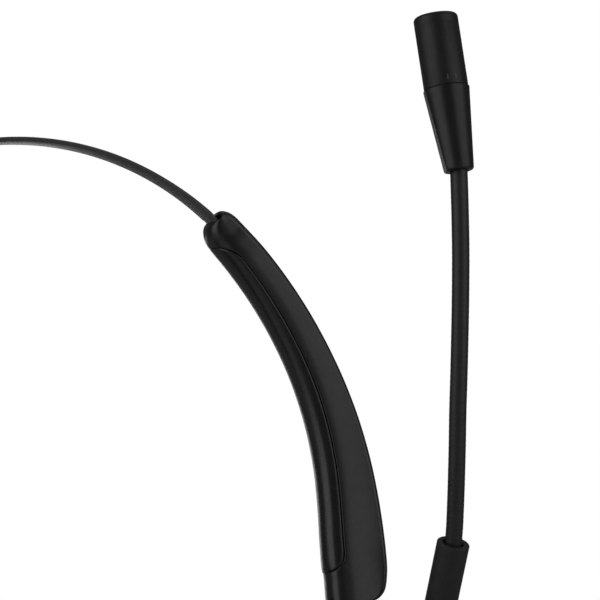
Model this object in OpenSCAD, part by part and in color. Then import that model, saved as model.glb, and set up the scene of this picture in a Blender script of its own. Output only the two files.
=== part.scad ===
// Office headset: a sprung strip headband, two arms that slide on its ends,
// tilting on-ear cups, and a swing-up boom microphone on the +X arm.
// +Z is up, the wearer faces -Y, the origin is on the ear axis midway
// between the cups. Millimetres.

/* [Headband] */
// Width of the spring strip, front to back
band_w = 9.4; // [9:0.1:9.6]
// Thickness of the spring strip
band_t = 0.9; // [0.7:0.1:1]
// Radius of the strip's crown at mid thickness
band_r = 61.3; // [61:0.1:61.6]
// Height of the crown's centre above the ear axis
band_cz = 68.3; // [68:0.1:68.6]
// Angle from the crown at which the strip enters the arms
entry_a = 43; // [42.8:0.1:43.2]
// Radius of the strip's hidden ends, along which the arms slide
slide_r = 101.3; // [101:0.1:101.6]
// Angle of strip hidden inside each arm
hidden_a = 25; // [24.5:0.1:25.5]

/* [Arms] */
// Depth of the arm at its parting line
arm_w = 12; // [11.8:0.1:12.4]
// Radius of the parting line between shell and inner cover
part_r = 99; // [98.9:0.05:99.1]
// Inner radius of the cover, about its own centre
cover_r = 98.15; // [98:0.05:98.3]
// Outer radius of the shell's back, about its own centre
back_r = 117; // [116.8:0.1:117.2]
// Radius of the round paddle at the arm's foot
paddle_r = 15; // [14.8:0.1:15.4]
// Inner face of the paddle
paddle_x0 = 76; // [75.9:0.1:76.1]
// Outer face of the paddle
paddle_x1 = 84; // [83.9:0.1:84.1]

/* [Ear cups] */
// Radius of the cup shell and baffle
cup_r = 25.5; // [25.2:0.1:25.8]
// Radius of the cup's domed back
dome_r = 52; // [51:0.5:53]
// Outermost point of the domed back
dome_x = 69; // [68.8:0.1:69.1]
// Front face of the baffle
baffle_x = 57.2; // [57:0.1:57.4]
// Thickness of the ear cushion
cushion_t = 12.8; // [11:0.2:14]
// Radius of the ear cushion
cushion_r = 27; // [26:0.2:27.2]
// Radius of the opening in the ear cushion
cushion_hole_r = 11.5; // [11:0.1:12.5]
// Axis of the cup's hinge pins
hinge_x = 72; // [71.9:0.1:72.1]
// Radius of the hinge pins
hinge_pin_r = 1.5; // [1.4:0.05:1.6]
// Radius of the cable inlet
gland_bore_r = 1.5; // [1.3:0.1:1.7]

/* [Boom] */
// Plane in which the boom leaves its hub
hub_x = 88.4; // [88.3:0.05:88.5]
// Radius of the hub
hub_r = 13; // [12.5:0.1:13.4]
// Forward lean of the boom's root at rest
boom_lean = 24.5; // [24:0.1:25]
// Outward splay of the boom's root
boom_splay = 5.3; // [5:0.1:5.6]
// Length from the hub axis to the end of the sleeve
sleeve_end = 45.7; // [45:0.1:46.4]
// Radius of the rubber sleeve
sleeve_r = 3.6; // [3.5:0.05:3.7]
// Radius of the gooseneck
neck_r = 1.9; // [1.8:0.05:1.95]
// Radius of the gooseneck's curve at rest
neck_bend = 165; // [160:1:170]
// Forward lean of the gooseneck where it leaves the sleeve
neck_lean = 20; // [19:0.1:21]
// Length of the gooseneck between sleeve and collar
neck_len = 82; // [80:0.5:84]

/* [Microphone] */
// Length of the tapered collar
collar_l = 18.5; // [18:0.5:20]
// Radius of the collar at the boom
collar_r0 = 3.45; // [3.3:0.05:3.6]
// Radius of the collar at the capsule
collar_r1 = 5.05; // [5:0.05:5.2]
// Length of the microphone housing
mic_l = 16.5; // [16:0.5:18]
// Radius of the microphone housing
mic_r = 4.9; // [4.8:0.05:4.95]

/* [Hidden] */
$fn = 96;

black = [0.06, 0.06, 0.065];
soft_black = [0.09, 0.09, 0.09];
steel = [0.7, 0.71, 0.72];

// Centre of the arc along which each arm slides (x, z), tangent to the crown
slide_c = [-(slide_r - band_r) * sin(entry_a),
           band_cz - (slide_r - band_r) * cos(entry_a)];
// Centres of the cover's inner face and of the shell's back (x, z)
cover_c = [-30.9, 41.1];
back_c = [-35.7, 30.9];
rivet_a = entry_a + hidden_a - 1.5;
travel_a = 14;
hub_x1 = 93.8;
run_gap = 0.3;
clear_pin = 0.05;
snap_as = [76.5, 87.5];
snap_gap = 0.15;
cup_screw_r = 17.5;
gland_x = 62.6;

// Curve of the gooseneck: a plane arc, lean th falls with length
hub_p = [hub_x, 0, 0];
root_d = [sin(boom_splay), -sin(boom_lean) * cos(boom_splay), cos(boom_lean) * cos(boom_splay)];
neck_p = hub_p + sleeve_end * root_d;
neck_c = [neck_p[1] + neck_bend * cos(neck_lean), neck_p[2] + neck_bend * sin(neck_lean)];
function neck_th(s) = neck_lean - s / neck_bend * 180 / PI;
function neck_at(s) = let (t = neck_th(s))
  [neck_p[0], neck_c[0] - neck_bend * cos(t), neck_c[1] - neck_bend * sin(t)];
link_s = [20, 58];
link_gap = 0.5;
root_r = neck_r - 0.15;
link_ball_r = 1.3;
mic_back = 7;
mic_in = 7;

// Turns a section (radius, depth) about an axis along Y through c,
// from angle a0 to a1, both measured from straight up towards +X
module turn_y(c, a0, a1)
  translate([c[0], 0, c[1]]) rotate([90, 0, 0]) rotate([0, 0, 90 - a1])
    rotate_extrude(angle = a1 - a0, $fn = 180) children();

// Turns a section (radius, x) about the ear axis
module turn_x() rotate([0, 90, 0]) rotate_extrude() children();

// Cylinder along X from x0 to x1
module rod_x(r, x0, x1) translate([x0, 0, 0]) rotate([0, 90, 0]) cylinder(r = r, h = x1 - x0);

// Cylinder along Y at (x, z) from y0 to y1
module rod_y(r, x, z, y0, y1) translate([x, y1, z]) rotate([90, 0, 0]) cylinder(r = r, h = y1 - y0);

// Frame at radius r and angle a about the slide centre, z pointing outwards
module on_arc(r, a)
  translate([slide_c[0] + r * sin(a), 0, slide_c[1] + r * cos(a)]) rotate([0, a, 0]) children();

module on_root() translate(hub_p) rotate([boom_lean, 0, 0]) rotate([0, boom_splay, 0]) children();
module on_neck(s) translate(neck_at(s)) rotate([neck_th(s), 0, 0]) children();
module on_mic() translate(neck_at(neck_len)) rotate([-mic_back, 0, 0]) rotate([0, -mic_in, 0]) children();

// Part of the gooseneck's arc from length s0 to s1
module neck_arc(s0, s1, r)
  translate([neck_p[0], neck_c[0], neck_c[1]]) rotate([90, 0, 90])
    rotate([0, 0, 180 + neck_th(s1)])
      rotate_extrude(angle = neck_th(s0) - neck_th(s1), $fn = 180) translate([neck_bend, 0]) circle(r = r, $fn = 48);

module left() mirror([1, 0, 0]) children();

// ---------------------------------------------------------------- headband
module headband_strip() color(black) difference() {
  union() {
    turn_y([0, band_cz], -entry_a, entry_a) translate([band_r - band_t / 2, -band_w / 2]) square([band_t, band_w]);
    // the hidden ends are relieved a little on every face
    for (m = [0, 1]) mirror([m, 0, 0])
      turn_y(slide_c, entry_a - 0.3, entry_a + hidden_a)
        translate([slide_r - band_t / 2 + 0.05, -band_w / 2 + 0.2]) square([band_t - 0.1, band_w - 0.4]);
  }
  for (m = [0, 1]) mirror([m, 0, 0]) on_arc(slide_r, rivet_a) translate([0, 0, -3]) cylinder(r = 1.25, h = 6);
}

module stop_rivets() color(steel) for (m = [0, 1]) mirror([m, 0, 0]) on_arc(slide_r, rivet_a) {
  translate([0, 0, -1.3]) cylinder(r = 1.2, h = 2.6);
  translate([0, 0, 0.46]) cylinder(r = 2, h = 0.84);
  translate([0, 0, -1.3]) cylinder(r = 2, h = 0.84);
}

// -------------------------------------------------------------------- arms
// Point at radius r and angle a about the slide centre (x, z)
function arc_p(r, a) = [slide_c[0] + r * sin(a), slide_c[1] + r * cos(a)];

module arm_nose() rotate([90, 0, 0]) translate([0, 0, -arm_w / 2 + 0.1]) linear_extrude(height = arm_w - 0.2)
  polygon([arc_p(98, 50), arc_p(97, 47), arc_p(97, 45.2), arc_p(97.5, 44.3), arc_p(98.6, 43.75), arc_p(100.2, 43.6),
           arc_p(103, 43.5), arc_p(103.9, 43.6), arc_p(104.5, 44.1), arc_p(104.8, 45), arc_p(104.7, 46.5), arc_p(103.5, 50)]);

module arm_back() turn_y(back_c, 46.7, 88.6)
  polygon([[107, -arm_w / 2 + 0.2], [110.4, -arm_w / 2], [113.4, -arm_w / 2 + 0.3], [back_r - 1.2, -4.4], [back_r, -3.1],
           [back_r, 3.1], [back_r - 1.2, 4.4], [113.4, arm_w / 2 - 0.3], [110.4, arm_w / 2], [107, arm_w / 2 - 0.2]]);

module arm_stem() {
  rotate([90, 0, 0]) translate([0, 0, -5.4])
    linear_extrude(height = 10.8) polygon([[67.3, 40], [68.1, 29], [70, 21], [73.4, 13], [76.4, 7], [76.4, 0],
                                         [83.6, 0], [83.6, 13], [82.6, 20], [80.6, 28], [80.4, 36], [78, 40]]);
  rod_y(3.6, 77.8, 33.2, -4.6, 4.6);
  rod_x(paddle_r, paddle_x0, paddle_x1);
}

module hinge_lug(y0, y1) {
  rod_y(3.3, hinge_x, 0, y0, y1);
  translate([hinge_x, y0, -3]) cube([paddle_x0 - hinge_x + 0.5, y1 - y0, 6]);
}

module arm_shell_right() color(black) difference() {
  union() {
    arm_nose();
    arm_back();
    arm_stem();
    hinge_lug(8.5, 11.5);
    hinge_lug(-11.5, -8.5);
  }
  // seat of the inner cover
  turn_y(slide_c, 46.4, 92.4) translate([80, -12]) square([part_r - 80, 24]);
  // strip channel, and the wider chamber in which the rivet head travels
  turn_y(slide_c, 40, 72) translate([slide_r - band_t / 2 - run_gap, -band_w / 2 - run_gap])
    square([band_t + 2 * run_gap, band_w + 2 * run_gap]);
  turn_y(slide_c, rivet_a - travel_a - 1.3, rivet_a + 3) translate([slide_r - 1.7, -2.4]) square([3.4, 4.8]);
  // pocket of the slider spring
  turn_y(slide_c, 46.9, 51) translate([part_r - 1, -3.3]) square([3, 6.6]);
  // sockets of the cover's snap hooks
  for (a = snap_as) snap(a, snap_gap);
  // boom pivot: bore, ring pocket, washer recess
  rod_x(5.05, paddle_x0 - 1, paddle_x1 + 1);
  rod_x(7.8, paddle_x0 - 1, paddle_x0 + 2.4);
  rod_x(8.4, paddle_x1 - 0.6, paddle_x1 + 1);
  // pin bores
  rod_y(hinge_pin_r, hinge_x, 0, 8, 12);
  rod_y(hinge_pin_r, hinge_x, 0, -12, -8);
}

// Hook that holds the cover at angle a; g is the clearance round it
module snap(a, g) on_arc(part_r, a) {
  translate([-0.6 - g, -2 - g, -0.7]) cube([1.2 + 2 * g, 4 + 2 * g, 3.5 + g]);
  translate([-0.6 - g, -1.9 - g, 1.9 - g]) cube([1.6 + 2 * g, 3.8 + 2 * g, 0.7 + 2 * g]);
}

module arm_cover_right() color(black) {
  difference() {
    turn_y(cover_c, 48.95, 92.85)
      polygon([[cover_r, -1.5], [cover_r + 0.4, -3], [cover_r + 1.2, -4.4], [cover_r + 2.4, -5.4],
               [cover_r + 8, -arm_w / 2 + 0.2], [cover_r + 8, arm_w / 2 - 0.2], [cover_r + 2.4, 5.4],
               [cover_r + 1.2, 4.4], [cover_r + 0.4, 3], [cover_r, 1.5]]);
    turn_y(slide_c, 40, 100) translate([part_r - 0.05, -12]) square([20, 24]);
    // hollow behind the panel
    turn_y(slide_c, 52, 73) translate([part_r - 1.6, -3.8]) square([3, 7.6]);
  }
  for (a = snap_as) snap(a, 0);
}

module slider_spring_right() color(steel) on_arc(part_r, 48.95) rotate([90, 0, 0]) translate([0, 0, -3])
  linear_extrude(height = 6) polygon([[-3.2, 0], [-2.9, 0], [-0.8, 1.05], [0.8, 1.05], [2.9, 0], [3.2, 0],
                                      [3.2, 0.25], [0.9, 1.35], [-0.9, 1.35], [-3.2, 0.25]]);

module cup_hinge_pins_right() color(steel) {
  rod_y(hinge_pin_r, hinge_x, 0, 5.2, 11.5);
  rod_y(hinge_pin_r, hinge_x, 0, -11.5, -5.2);
}

module pivot_cap_left() color(black) left() {
  turn_x() polygon([[0, paddle_x1 + 0.2], [hub_r, paddle_x1 + 0.2], [hub_r, 86], [12.2, 87], [9, 87.7], [0, 88]]);
  rod_x(5, paddle_x0 + 3, paddle_x1 + 1);
}

// -------------------------------------------------------------------- cups
module cup_ear(y0, y1) {
  rod_y(3.1, hinge_x, 0, y0, y1);
  translate([67.1, y0, -2.8]) cube([hinge_x - 67.1, y1 - y0, 5.6]);
}

// Points of the dome's section (radius, x) from its rim at radius r to its pole
function dome(rr, r, n) = [for (k = [0 : n]) let (a = asin(r / rr) * (1 - k / n))
  [rr * sin(a), dome_x - dome_r + rr * cos(a)]];

module cup_shell_right() color(black) difference() {
  union() {
    turn_x() polygon(concat([[cup_r - 1.8, baffle_x + 2.7], [cup_r, baffle_x + 2.7]],
                            dome(dome_r, cup_r, 12),
                            [for (k = [0 : 12]) dome(dome_r - 1.8, cup_r - 1.8, 12)[12 - k]]));
    cup_ear(5.3, 8.2);
    cup_ear(-8.2, -5.3);
    for (k = [0 : 2]) rotate([120 * k, 0, 0]) translate([0, 0, cup_screw_r]) rod_x(2.2, baffle_x + 2.6, 64.4);
  }
  for (k = [0 : 2]) rotate([120 * k, 0, 0]) translate([0, 0, cup_screw_r]) rod_x(1, 58, 63.4);
  rod_y(hinge_pin_r + clear_pin, hinge_x, 0, -9, 9);
  // lead hole from the arm, and the cable inlet
  rod_x(2, 60, 75);
  translate([gland_x, 0, -30]) cylinder(r = 2.45, h = 15.4);
}

module cup_baffle_right() color(soft_black) difference() {
  union() {
    rod_x(cup_r, baffle_x, baffle_x + 2.5);
    rod_x(cup_r - 2, baffle_x + 1, baffle_x + 3.6);
  }
  rod_x(cup_r - 3.8, baffle_x + 2.5, baffle_x + 9);
  rod_x(14.1, baffle_x + 2.2, baffle_x + 9);
  rod_x(1.1, 50, 70);
  for (k = [0 : 5]) rotate([60 * k, 0, 0]) translate([0, 0, 4.2]) rod_x(1.1, 50, 70);
  for (k = [0 : 11]) rotate([30 * k, 0, 0]) translate([0, 0, 8.4]) rod_x(1.1, 50, 70);
  for (k = [0 : 2]) rotate([120 * k, 0, 0]) translate([0, 0, cup_screw_r]) {
    rod_x(1.05, 50, 63);
    rod_x(2, 50, baffle_x + 1.3);
  }
  // clearance of the cable inlet in the spigot
  translate([gland_x, 0, -30]) cylinder(r = 2.6, h = 12);
}

module cup_screws_right() color(steel) for (k = [0 : 2]) rotate([120 * k, 0, 0]) translate([0, 0, cup_screw_r]) difference() {
  union() { rod_x(1.9, baffle_x + 0.1, baffle_x + 1.3); rod_x(0.95, baffle_x + 1, 63.2); }
  translate([baffle_x + 0.4, 0, 0]) cube([1.2, 0.5, 2.4], center = true);
  translate([baffle_x + 0.4, 0, 0]) cube([1.2, 2.4, 0.5], center = true);
}

module driver_frame_right() color(soft_black) difference() {
  rod_x(14, 59.42, 63);
  rod_x(12.4, 59, 62);
  rod_x(8.05, 58, 64);
}

module driver_magnet_right() color(steel) difference() {
  rod_x(8, 61.9, 65.6);
  rod_x(1.2, 60, 67);
}

module driver_diaphragm_right() color([0.55, 0.5, 0.4]) turn_x()
  polygon([[0, 61.3], [4, 61.1], [6, 60.6], [9, 60.9], [12.3, 60], [12.3, 60.25], [9, 61.2], [6, 60.9], [4, 61.4], [0, 61.6]]);

module speaker_cloth_right() color(soft_black) rod_x(13.5, baffle_x - 0.4, baffle_x - 0.02);

module ear_cushion_right() color(soft_black) {
  x1 = baffle_x - 0.45;
  x0 = x1 - cushion_t;
  m = (cushion_hole_r + cushion_r) / 2;
  h = (cushion_r - cushion_hole_r) / 2;
  turn_x() polygon([[cushion_hole_r + 0.6, x1], [cushion_r - 1.2, x1], [cushion_r - 0.2, x1 - 1.5],
                    for (k = [0 : 12]) let (a = 180 * k / 12) [m + h * cos(a), x0 + 6.6 - 6.6 * sin(a)],
                    [cushion_hole_r + 0.1, x1 - 1.5]]);
}

module cable_gland_right() color(soft_black) translate([gland_x, 0, -28.6]) difference() {
  union() {
    cylinder(r = 2.4, h = 14);
    cylinder(r = 3, h = 2);
  }
  translate([0, 0, -1]) cylinder(r = gland_bore_r, h = 20);
}

// -------------------------------------------------------------------- boom
module boom_hub() color(black) difference() {
  union() {
    rod_x(hub_r, paddle_x1 + 0.3, hub_x1);
    rod_x(5, paddle_x0 + 0.8, paddle_x1 + 1);
    on_root() translate([0, 0, 10.9]) cylinder(r = 4.3, h = 8.1);
  }
  // hub pocket and lead way down the shaft
  rod_x(10.5, 86, 96);
  rod_x(3.2, 70, 90);
  // ring groove
  difference() { rod_x(6, paddle_x0 + 1.35, paddle_x0 + 2.15); rod_x(4.4, 70, 90); }
  // socket of the sleeve
  on_root() translate([0, 0, 12]) cylinder(r = sleeve_r + 0.02, h = 10);
  on_root() cylinder(r = root_r + 0.02, h = 30);
}

module boom_hub_cap() color(black)
  turn_x() polygon([[0, hub_x1 - 1.2], [10.45, hub_x1 - 1.2], [10.45, hub_x1 + 0.1], [9.6, hub_x1 + 0.7], [0, hub_x1 + 1]]);

module boom_friction_washer() color(steel) difference() {
  rod_x(8.2, paddle_x1 - 0.55, paddle_x1 + 0.1);
  rod_x(5.4, 70, 90);
}

module boom_retaining_ring() color(steel) difference() {
  rod_x(7, paddle_x0 + 1.45, paddle_x0 + 2.05);
  rod_x(4.42, 70, 90);
  translate([70, -1.2, 0]) cube([20, 2.4, 10]);
}

module boom_sleeve() color(soft_black) on_root() difference() {
  union() {
    translate([0, 0, 12.05]) cylinder(r = sleeve_r, h = sleeve_end - 12.65);
    translate([0, 0, sleeve_end - 0.7]) cylinder(r1 = sleeve_r, r2 = sleeve_r - 0.7, h = 0.7);
  }
  cylinder(r = root_r + 0.02, h = 60);
  translate([0, 0, sleeve_end - 2.5]) cylinder(r = 2.5, h = 4);
}

// Half of a ball link: a ball on the near piece, a seat in the far piece
module link_ball(s) translate(neck_at(s)) sphere(r = link_ball_r, $fn = 48);
module link_seat(s) translate(neck_at(s)) sphere(r = link_ball_r + 0.06, $fn = 48);
// Everything on the near side (or far side) of a link, less half the gap
function neck_off(s, d) = s + d;

module gooseneck_lower() color(soft_black) {
  on_root() translate([0, 0, 9.5]) cylinder(r = root_r, h = sleeve_end - 8.7, $fn = 48);
  neck_arc(0, neck_off(link_s[0], -link_gap), neck_r);
  link_ball(link_s[0]);
}

module gooseneck_middle() color(soft_black) difference() {
  union() {
    neck_arc(neck_off(link_s[0], link_gap), neck_off(link_s[1], -link_gap), neck_r);
    link_ball(link_s[1]);
  }
  link_seat(link_s[0]);
}

module gooseneck_upper() color(soft_black) difference() {
  union() {
    neck_arc(neck_off(link_s[1], link_gap), neck_len + 0.8, neck_r);
    on_mic() translate([0, 0, 0.1]) cylinder(r = 1.7, h = 8, $fn = 48);
  }
  link_seat(link_s[1]);
}

module mic_collar() color(black) on_mic() difference() {
  union() {
    cylinder(r1 = collar_r0 - 0.5, r2 = collar_r0, h = 0.8);
    translate([0, 0, 0.8]) cylinder(r1 = collar_r0, r2 = collar_r1, h = collar_l - 1.6);
    translate([0, 0, collar_l - 0.8]) cylinder(r = collar_r1, h = 0.8);
    translate([0, 0, collar_l - 0.1]) cylinder(r = mic_r - 1.1, h = 2.1);
  }
  translate([0, 0, -1]) cylinder(r = 1.72, h = 12);
  translate([0, 0, -1]) cylinder(r = 2.6, h = 3);
  translate([0, 0, 8.5]) cylinder(r = 2.4, h = 20);
}

module mic_housing() color(black) on_mic() difference() {
  translate([0, 0, collar_l + 0.15]) cylinder(r = mic_r, h = mic_l - 2.6);
  translate([0, 0, collar_l - 1]) cylinder(r = mic_r - 1, h = 30);
  // rear vents
  for (m = [-1, 1]) rotate([0, 0, 6.5 + 12.5 * m]) translate([0, -mic_r, collar_l + 2.1]) cube([0.5, 4, 1.2], center = true);
}

module mic_end_cap() color(black) on_mic() difference() {
  union() {
    translate([0, 0, collar_l + mic_l - 2.4]) cylinder(r = mic_r, h = 1.6);
    translate([0, 0, collar_l + mic_l - 0.8]) cylinder(r1 = mic_r, r2 = mic_r - 0.8, h = 0.8);
    translate([0, 0, collar_l + mic_l - 4]) cylinder(r = mic_r - 1.05, h = 2);
  }
  translate([0, 0, collar_l]) cylinder(r = mic_r - 1.9, h = mic_l - 1.2);
  translate([0, 0, collar_l]) cylinder(r = 0.45, h = 40, $fn = 24);
  for (k = [0 : 5]) rotate([0, 0, 60 * k]) translate([2.1, 0, collar_l]) cylinder(r = 0.45, h = 40, $fn = 24);
}

module mic_element() color(steel) on_mic() difference() {
  translate([0, 0, collar_l + 7]) cylinder(r = 2.98, h = 4.5);
  translate([0, 0, collar_l + 11]) cylinder(r = 0.9, h = 4);
}

module mic_boot() color(soft_black) on_mic() difference() {
  translate([0, 0, collar_l + 5.8]) cylinder(r = mic_r - 1.03, h = 6);
  translate([0, 0, collar_l + 7]) cylinder(r = 3, h = 10);
  translate([0, 0, collar_l]) cylinder(r = 1.2, h = 10);
}

// ------------------------------------------------------------- the assembly
headband_strip();
stop_rivets();
arm_shell_right();
arm_cover_right();
slider_spring_right();
cup_hinge_pins_right();
cup_shell_right();
cup_baffle_right();
cup_screws_right();
driver_frame_right();
driver_magnet_right();
driver_diaphragm_right();
speaker_cloth_right();
ear_cushion_right();
cable_gland_right();
left() arm_shell_right();  // arm_shell_left
left() arm_cover_right();  // arm_cover_left
left() slider_spring_right();  // slider_spring_left
left() cup_hinge_pins_right();  // cup_hinge_pins_left
left() cup_shell_right();  // cup_shell_left
left() cup_baffle_right();  // cup_baffle_left
left() cup_screws_right();  // cup_screws_left
left() driver_frame_right();  // driver_frame_left
left() driver_magnet_right();  // driver_magnet_left
left() driver_diaphragm_right();  // driver_diaphragm_left
left() speaker_cloth_right();  // speaker_cloth_left
left() ear_cushion_right();  // ear_cushion_left
left() cable_gland_right();  // cable_gland_left
pivot_cap_left();
boom_hub();
boom_hub_cap();
boom_friction_washer();
boom_retaining_ring();
boom_sleeve();
gooseneck_lower();
gooseneck_middle();
gooseneck_upper();
mic_collar();
mic_housing();
mic_end_cap();
mic_element();
mic_boot();
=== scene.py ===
import math

import bmesh
import bpy
import numpy as np
from mathutils import Matrix, Vector


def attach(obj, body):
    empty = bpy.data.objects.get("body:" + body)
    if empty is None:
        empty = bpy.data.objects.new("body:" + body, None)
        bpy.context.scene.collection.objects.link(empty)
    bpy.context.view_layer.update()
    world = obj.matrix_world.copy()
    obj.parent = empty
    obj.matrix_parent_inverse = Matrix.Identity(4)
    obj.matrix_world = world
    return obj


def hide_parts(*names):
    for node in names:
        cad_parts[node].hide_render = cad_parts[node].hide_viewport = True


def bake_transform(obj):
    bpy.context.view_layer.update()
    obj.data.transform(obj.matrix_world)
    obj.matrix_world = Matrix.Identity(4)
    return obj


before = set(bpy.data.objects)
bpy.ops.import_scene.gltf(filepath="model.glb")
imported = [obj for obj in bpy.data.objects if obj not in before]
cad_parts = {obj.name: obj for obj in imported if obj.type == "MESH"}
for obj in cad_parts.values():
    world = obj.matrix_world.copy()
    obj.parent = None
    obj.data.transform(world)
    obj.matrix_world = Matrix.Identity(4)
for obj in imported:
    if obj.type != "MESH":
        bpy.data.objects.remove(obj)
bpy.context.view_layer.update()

scene = bpy.context.scene
MM = 0.001
PI = math.pi


# ------------------------------------------------------------------ camera
CAM = Vector((-0.10893, -0.88191, 0.04192))
AIM = Vector((0.0625, 0.0, 0.0953))
cam_data = bpy.data.cameras.new("camera")
cam_data.lens = 243.0
cam_data.sensor_width = 36.0
cam_data.clip_start = 0.05
cam_data.clip_end = 50.0
cam = bpy.data.objects.new("camera", cam_data)
cam.location = CAM
cam.rotation_mode = "QUATERNION"
cam.rotation_quaternion = (AIM - CAM).to_track_quat("-Z", "Y")
scene.collection.objects.link(cam)
scene.camera = cam


# --------------------------------------------------------------- materials
class Mat:
    """A small builder for node materials. Coordinates are the object's own, in metres."""

    def __init__(self, name):
        self.m = bpy.data.materials.new(name)
        self.m.use_nodes = True
        self.t = self.m.node_tree
        self.t.nodes.clear()
        out = self.t.nodes.new("ShaderNodeOutputMaterial")
        self.b = self.t.nodes.new("ShaderNodeBsdfPrincipled")
        self.t.links.new(self.b.outputs[0], out.inputs[0])
        self.co = self.t.nodes.new("ShaderNodeTexCoord").outputs["Object"]

    def put(self, **values):
        for k, v in values.items():
            self.b.inputs[k.replace("_", " ")].default_value = v
        return self

    def link(self, a, socket):
        self.t.links.new(a, self.b.inputs[socket])
        return self

    def node(self, kind, ins=None, **props):
        n = self.t.nodes.new(kind)
        for k, v in props.items():
            setattr(n, k, v)
        for k, v in (ins or {}).items():
            if isinstance(v, bpy.types.NodeSocket):
                self.t.links.new(v, n.inputs[k])
            else:
                n.inputs[k].default_value = v
        return n

    def noise(self, scale, detail=3.0, rough=0.55, vec=None, distortion=0.0):
        return self.node("ShaderNodeTexNoise", {"Vector": vec or self.co, "Scale": scale, "Detail": detail,
                                                "Roughness": rough, "Distortion": distortion}).outputs[0]

    def voronoi(self, scale, feature="F1", vec=None, rand=1.0):
        return self.node("ShaderNodeTexVoronoi", {"Vector": vec or self.co, "Scale": scale, "Randomness": rand},
                         feature=feature).outputs["Distance"]

    def ramp(self, fac, stops):
        n = self.node("ShaderNodeValToRGB", {"Fac": fac})
        e = n.color_ramp.elements
        while len(e) < len(stops):
            e.new(0.5)
        for i, (p, c) in enumerate(stops):
            e[i].position = p
            e[i].color = (c[0], c[1], c[2], 1.0)
        return n.outputs[0]

    def span(self, v, a, b, c, d):
        return self.node("ShaderNodeMapRange", {"Value": v, "From Min": a, "From Max": b, "To Min": c,
                                                "To Max": d}).outputs[0]

    def math(self, op, a, b):
        return self.node("ShaderNodeMath", {0: a, 1: b}, operation=op).outputs[0]

    def mapped(self, scale):
        return self.node("ShaderNodeMapping", {"Vector": self.co, "Scale": scale}).outputs[0]

    def wave(self, scale, direction, vec=None, distortion=0.0):
        return self.node("ShaderNodeTexWave", {"Vector": vec or self.co, "Scale": scale, "Distortion": distortion},
                         wave_type="BANDS", bands_direction=direction).outputs["Fac"]

    def bump(self, height, strength, distance, under=None):
        ins = {"Height": height, "Strength": strength, "Distance": distance}
        if under is not None:
            ins["Normal"] = under
        return self.node("ShaderNodeBump", ins).outputs[0]


def grey(v, warm=0.0):
    return (v * (1 + warm), v, v * (1 - warm))


def plastic(name, dark, light, r0, r1, grain=5200.0, bump=0.12, depth=0.00002, blotch=260.0, spec=0.5):
    """Moulded plastic: faint flow mottle in colour and gloss, fine spark-eroded grain."""
    m = Mat(name)
    m.put(Specular_IOR_Level=spec)
    big = m.noise(blotch, 4.0)
    m.link(m.ramp(big, [(0.3, grey(dark, -0.02)), (0.7, grey(light, -0.02))]), "Base Color")
    fine = m.noise(grain, 2.0, 0.5)
    m.link(m.span(m.noise(blotch * 3.1, 3.0), 0.3, 0.7, r0, r1), "Roughness")
    m.link(m.bump(fine, bump, depth), "Normal")
    return m.m


def metal(name, tint, r0, r1, stretch=(1, 1, 1), scale=900.0, bump=0.08):
    m = Mat(name)
    m.put(Metallic=1.0)
    v = m.mapped(stretch)
    n = m.noise(scale, 4.0, 0.6, v)
    m.link(m.ramp(n, [(0.25, [0.8 * c for c in tint]), (0.75, tint)]), "Base Color")
    m.link(m.span(n, 0.3, 0.7, r0, r1), "Roughness")
    m.link(m.bump(n, bump, 0.00001), "Normal")
    return m.m


M = {}
M["arm_plastic"] = plastic("arm_plastic", 0.0075, 0.011, 0.28, 0.33, bump=0.01, spec=0.78)
M["cover_plastic"] = plastic("cover_plastic", 0.0075, 0.011, 0.26, 0.31, bump=0.015, spec=0.74)
M["cup_plastic"] = plastic("cup_plastic", 0.009, 0.013, 0.42, 0.5, grain=3600.0, bump=0.25, depth=0.00004)
M["hub_plastic"] = plastic("hub_plastic", 0.0085, 0.0125, 0.36, 0.43)
M["mic_plastic"] = plastic("mic_plastic", 0.0085, 0.012, 0.34, 0.4, spec=0.54)
M["capsule_plastic"] = plastic("capsule_plastic", 0.0095, 0.013, 0.42, 0.48)
M["baffle_plastic"] = plastic("baffle_plastic", 0.011, 0.016, 0.45, 0.55)
M["driver_plastic"] = plastic("driver_plastic", 0.014, 0.02, 0.4, 0.5)
M["bright_steel"] = metal("bright_steel", (0.62, 0.63, 0.65), 0.22, 0.34)
M["screw_steel"] = metal("screw_steel", (0.08, 0.08, 0.085), 0.3, 0.42)
M["spring_steel"] = metal("spring_steel", (0.5, 0.5, 0.51), 0.25, 0.38, (1, 0.15, 1))
M["magnet_steel"] = metal("magnet_steel", (0.55, 0.55, 0.57), 0.3, 0.45)


def band_material():
    """Black stoved lacquer on spring steel: orange peel, a little dust, glossier at the crown than towards the arms."""
    m = Mat("band_steel")
    m.put(Specular_IOR_Level=0.5)
    peel = m.noise(1500.0, 2.0, 0.5)
    fine = m.noise(6500.0, 2.0, 0.5)
    m.link(m.ramp(m.noise(420.0, 5.0), [(0.3, grey(0.076)), (0.7, grey(0.09))]), "Base Color")
    far = m.math("ABSOLUTE", m.node("ShaderNodeSeparateXYZ", {0: m.co}).outputs[0], 0.0)
    m.link(m.math("ADD", m.span(far, 0.006, 0.024, 0.25, 0.45), m.span(m.noise(700.0, 4.0), 0.3, 0.7, 0.0, 0.04)), "Roughness")
    m.link(m.bump(fine, 0.012, 0.00002, m.bump(peel, 0.02, 0.00004)), "Normal")
    return m.m


def rubber_material(name, dark, light, r0, r1, spec=0.4):
    m = Mat(name)
    m.put(Specular_IOR_Level=spec)
    m.link(m.ramp(m.noise(600.0, 5.0, 0.65), [(0.3, grey(dark)), (0.72, grey(light))]), "Base Color")
    m.link(m.span(m.noise(1600.0, 3.0), 0.3, 0.7, r0, r1), "Roughness")
    m.link(m.bump(m.noise(4200.0, 3.0, 0.6), 0.25, 0.00004), "Normal")
    return m.m


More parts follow.
